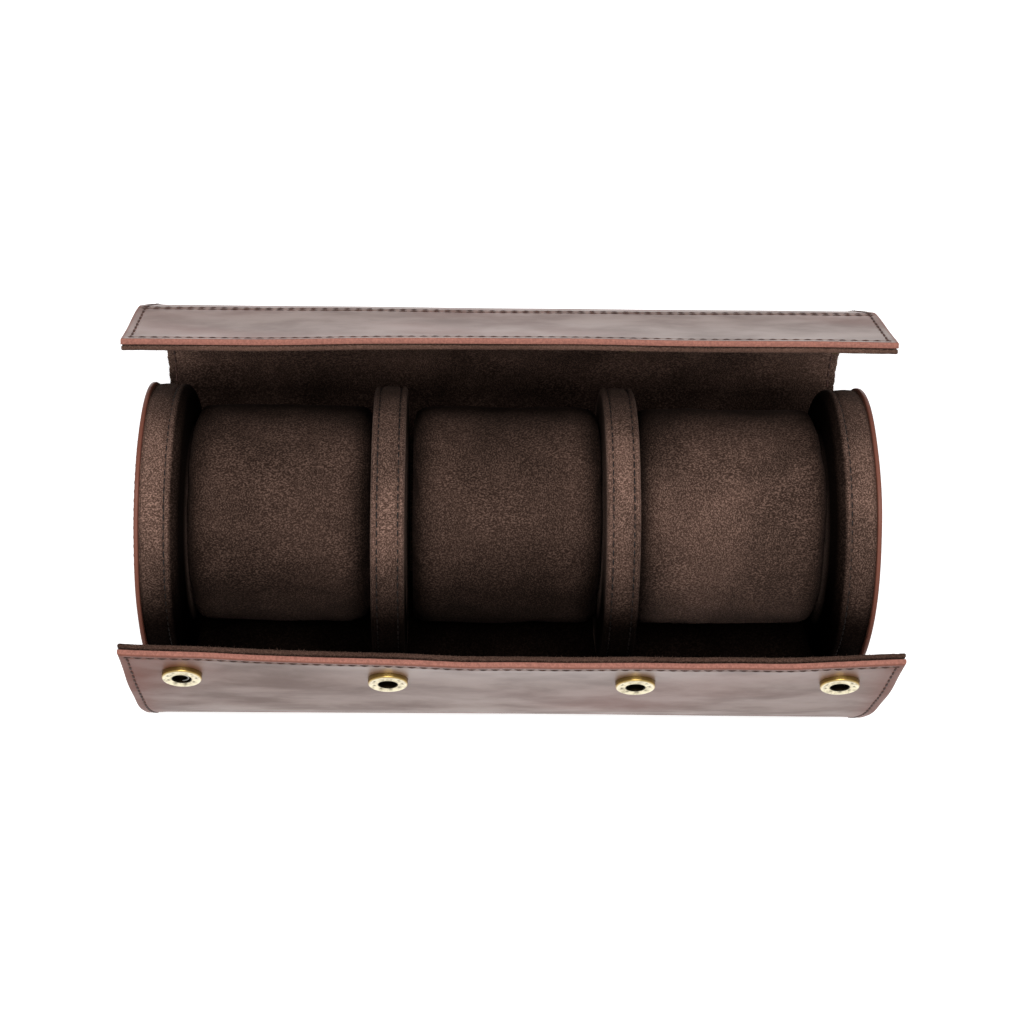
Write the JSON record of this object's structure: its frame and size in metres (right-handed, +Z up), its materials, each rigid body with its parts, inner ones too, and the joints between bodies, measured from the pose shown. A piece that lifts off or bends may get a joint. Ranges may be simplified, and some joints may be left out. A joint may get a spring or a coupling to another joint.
{
  "type": "watch roll",
  "caption": "Soft round leather watch roll with suede lining, padded end caps, dividers and lift-out pillows; its two flaps fold open and close with press snaps.",
  "frame": {"origin": "Centre of the underside on which the roll rests, below the middle of the end caps.", "axes": "+X runs along the roll to the right of someone at its front, +Y to the rear flap, +Z up."},
  "size_m": [0.26, 0.1592, 0.1313],
  "materials": {
    "wrap_leather": "satin",
    "lining_suede": "matte",
    "cushion_suede": "matte",
    "backing_board": "matte",
    "foam": "matte",
    "stiffener_board": "matte",
    "antique_brass": "satin",
    "spring_wire": "satin"
  },
  "bodies": {
    "base": {"base_leather": "wrap_leather", "base_lining": "lining_suede", "left_cap_leather": "wrap_leather", "left_cap_board": "backing_board", "left_cap_foam": "foam", "left_cap_rim_band": "cushion_suede", "left_cap_suede_face": "cushion_suede", "right_cap_leather": "wrap_leather", "right_cap_board": "backing_board", "right_cap_foam": "foam", "right_cap_rim_band": "cushion_suede", "right_cap_suede_face": "cushion_suede", "left_divider_board": "backing_board", "left_divider_foam": "foam", "left_divider_rim_band": "cushion_suede", "left_divider_suede_faces": "cushion_suede", "right_divider_board": "backing_board", "right_divider_foam": "foam", "right_divider_rim_band": "cushion_suede", "right_divider_suede_faces": "cushion_suede"},
    "front_sole": {"front_sole_leather": "wrap_leather", "front_sole_lining": "lining_suede"},
    "front_heel": {"front_heel_leather": "wrap_leather", "front_heel_lining": "lining_suede"},
    "front_lower_wall": {"front_lower_wall_leather": "wrap_leather", "front_lower_wall_lining": "lining_suede"},
    "front_upper_wall": {"front_upper_wall_leather": "wrap_leather", "front_upper_wall_lining": "lining_suede"},
    "front_snap_strip": {"front_snap_strip_leather": "wrap_leather", "front_snap_strip_lining": "lining_suede", "front_snap_stiffener": "stiffener_board", "snap_sockets": "antique_brass", "socket_springs": "spring_wire", "socket_posts": "antique_brass"},
    "rear_sole": {"rear_sole_leather": "wrap_leather", "rear_sole_lining": "lining_suede"},
    "rear_heel": {"rear_heel_leather": "wrap_leather", "rear_heel_lining": "lining_suede"},
    "rear_lower_wall": {"rear_lower_wall_leather": "wrap_leather", "rear_lower_wall_lining": "lining_suede"},
    "rear_upper_wall": {"rear_upper_wall_leather": "wrap_leather", "rear_upper_wall_lining": "lining_suede"},
    "closure_band": {"closure_band_leather": "wrap_leather", "closure_band_lining": "lining_suede", "closure_band_stiffener": "stiffener_board", "snap_studs": "antique_brass", "stud_rivets": "antique_brass"},
    "left_pillow": {"left_pillow_foam": "foam", "left_pillow_cover": "cushion_suede"},
    "middle_pillow": {"middle_pillow_foam": "foam", "middle_pillow_cover": "cushion_suede"},
    "right_pillow": {"right_pillow_foam": "foam", "right_pillow_cover": "cushion_suede"}
  },
  "joints": [
    {"name": "front_flap_close", "type": "hinge", "parent": "base", "child": "front_sole", "pos_m": [0, -0.0182, 0.0018], "axis": [1, 0, 0], "range_deg": [-34.19, 0]},
    {"name": "front_heel_bend", "type": "hinge", "parent": "front_sole", "child": "front_heel", "pos_m": [0, -0.05221, 0.00504], "axis": [1, 0, 0], "range_deg": [0, 27.59]},
    {"name": "front_flap_fold_out", "type": "hinge", "parent": "front_heel", "child": "front_lower_wall", "pos_m": [0, -0.06192, 0.02572], "axis": [1, 0, 0], "range_deg": [0, 75]},
    {"name": "front_wall_bend", "type": "hinge", "parent": "front_lower_wall", "child": "front_upper_wall", "pos_m": [0, -0.06571, 0.04352], "axis": [1, 0, 0], "range_deg": [-14.46, 0]},
    {"name": "front_snap_strip_bend", "type": "hinge", "parent": "front_upper_wall", "child": "front_snap_strip", "pos_m": [0, -0.06684, 0.073], "axis": [1, 0, 0], "range_deg": [-45.91, 0]},
    {"name": "rear_flap_close", "type": "hinge", "parent": "base", "child": "rear_sole", "pos_m": [0, 0.0265, 0.0018], "axis": [-1, 0, 0], "range_deg": [-51.82, 0]},
    {"name": "rear_heel_bend", "type": "hinge", "parent": "rear_sole", "child": "rear_heel", "pos_m": [0, 0.07656, 0.009], "axis": [-1, 0, 0], "range_deg": [0, 25.64]},
    {"name": "rear_flap_fold_out", "type": "hinge", "parent": "rear_heel", "child": "rear_lower_wall", "pos_m": [0, 0.08611, 0.04724], "axis": [-1, 0, 0], "range_deg": [0, 105]},
    {"name": "rear_wall_bend", "type": "hinge", "parent": "rear_lower_wall", "child": "rear_upper_wall", "pos_m": [0, 0.07697, 0.06857], "axis": [-1, 0, 0], "range_deg": [-7.9, 0]},
    {"name": "closure_band_bend", "type": "hinge", "parent": "rear_upper_wall", "child": "closure_band", "pos_m": [0, 0.06069, 0.09842], "axis": [-1, 0, 0], "range_deg": [-36.76, 0]},
    {"name": "left_pillow_lift", "type": "slide", "parent": "base", "child": "left_pillow", "axis": [0, -0.2924, 0.9563], "range_m": [0, 0.105]},
    {"name": "middle_pillow_lift", "type": "slide", "parent": "base", "child": "middle_pillow", "axis": [0, -0.2924, 0.9563], "range_m": [0, 0.105]},
    {"name": "right_pillow_lift", "type": "slide", "parent": "base", "child": "right_pillow", "axis": [0, -0.2924, 0.9563], "range_m": [0, 0.105]}
  ],
  "couplings": [
    {"joint": "front_heel_bend", "follows": "front_flap_close", "ratio": -0.80666},
    {"joint": "front_wall_bend", "follows": "front_flap_close", "ratio": 0.42258},
    {"joint": "front_snap_strip_bend", "follows": "front_flap_close", "ratio": 1.3425},
    {"joint": "rear_heel_bend", "follows": "rear_flap_close", "ratio": -0.49448},
    {"joint": "rear_wall_bend", "follows": "rear_flap_close", "ratio": 0.15231},
    {"joint": "closure_band_bend", "follows": "rear_flap_close", "ratio": 0.70921}
  ]
}
